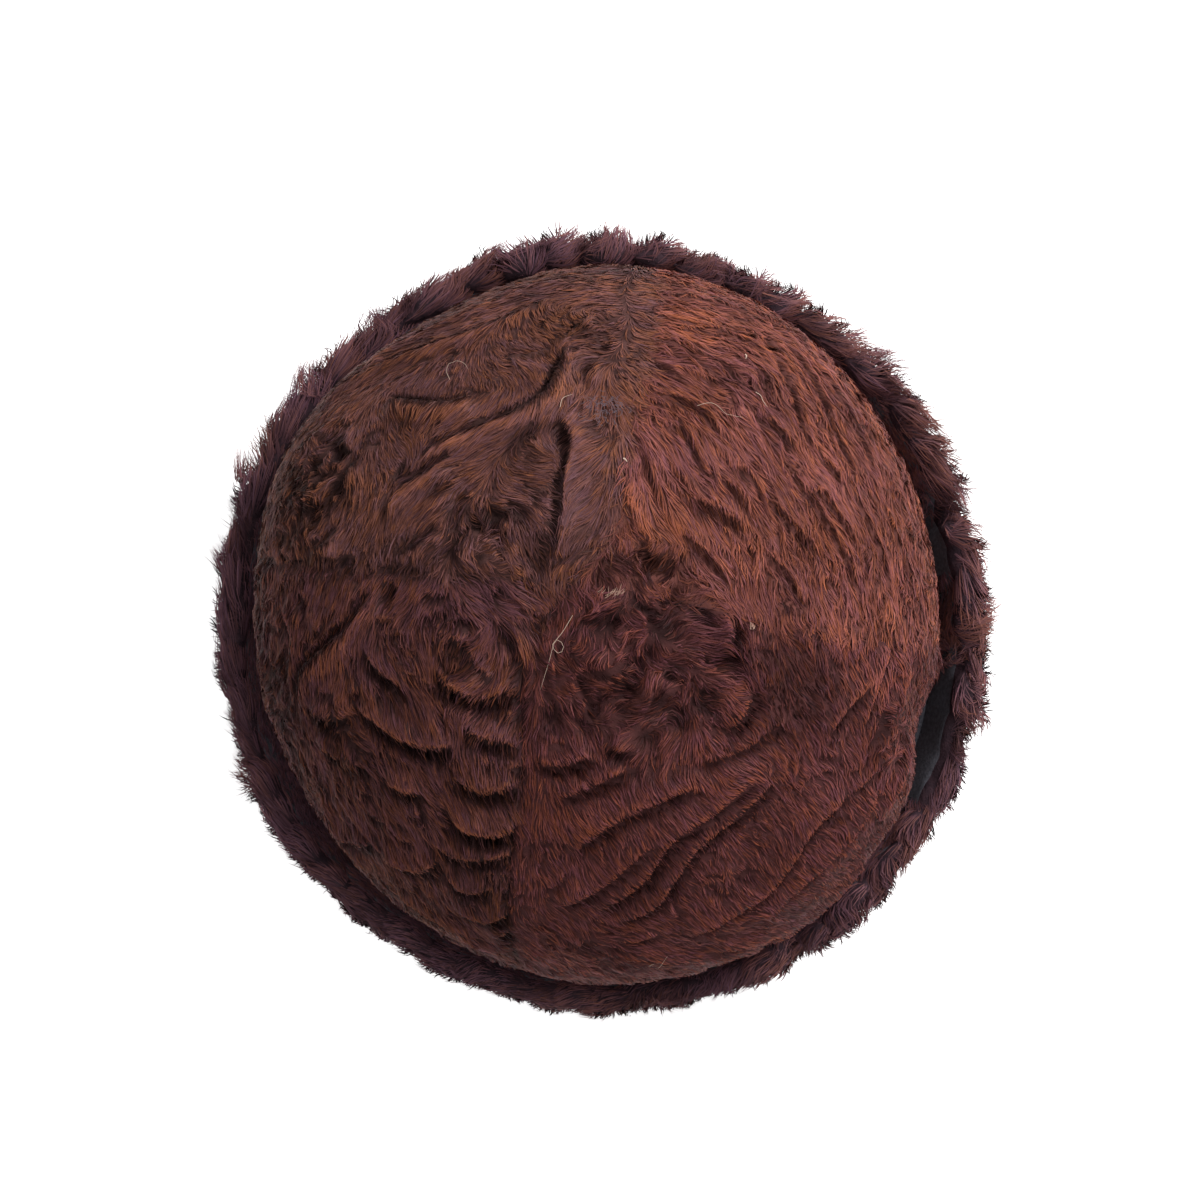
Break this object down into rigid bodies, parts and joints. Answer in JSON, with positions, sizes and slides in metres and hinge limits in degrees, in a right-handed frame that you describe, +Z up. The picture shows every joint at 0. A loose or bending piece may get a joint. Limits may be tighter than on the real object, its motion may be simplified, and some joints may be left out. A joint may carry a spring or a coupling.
{
  "type": "domed fur hat with turned-up brim",
  "caption": "Dark brown lambskin hat: a domed crown sewn of fur quarters inside a turned-up fur brim with a ribbed cloth facing.",
  "frame": {"origin": "on the table under the middle of the hat's outline; the hat stands on the fold of its turned-up brim", "axes": "+Z up through the crown, +X to the right and +Y to the back as seen from above; the real hat shows no marked front"},
  "size_m": [0.2436, 0.247, 0.1298],
  "materials": {
    "fur_back_right": "short wavy lambskin hair, reddish brown",
    "fur_back_left": "short wavy lambskin hair, greyish brown",
    "fur_front_left": "curled and stepped lambskin hair, dark brown",
    "fur_front_right": "flat moire lambskin hair, dark reddish brown",
    "fur_cuff": "curly brown-black lambskin hair",
    "facing_cloth": "matt ribbed charcoal cloth"
  },
  "bodies": {
    "root": {"crown_panel_back_right": "fur_back_right", "crown_panel_back_left": "fur_back_left", "crown_panel_front_left": "fur_front_left", "crown_panel_front_right": "fur_front_right", "turned_up_cuff": "fur_cuff", "cuff_facing": "facing_cloth"}
  },
  "joints": []
}
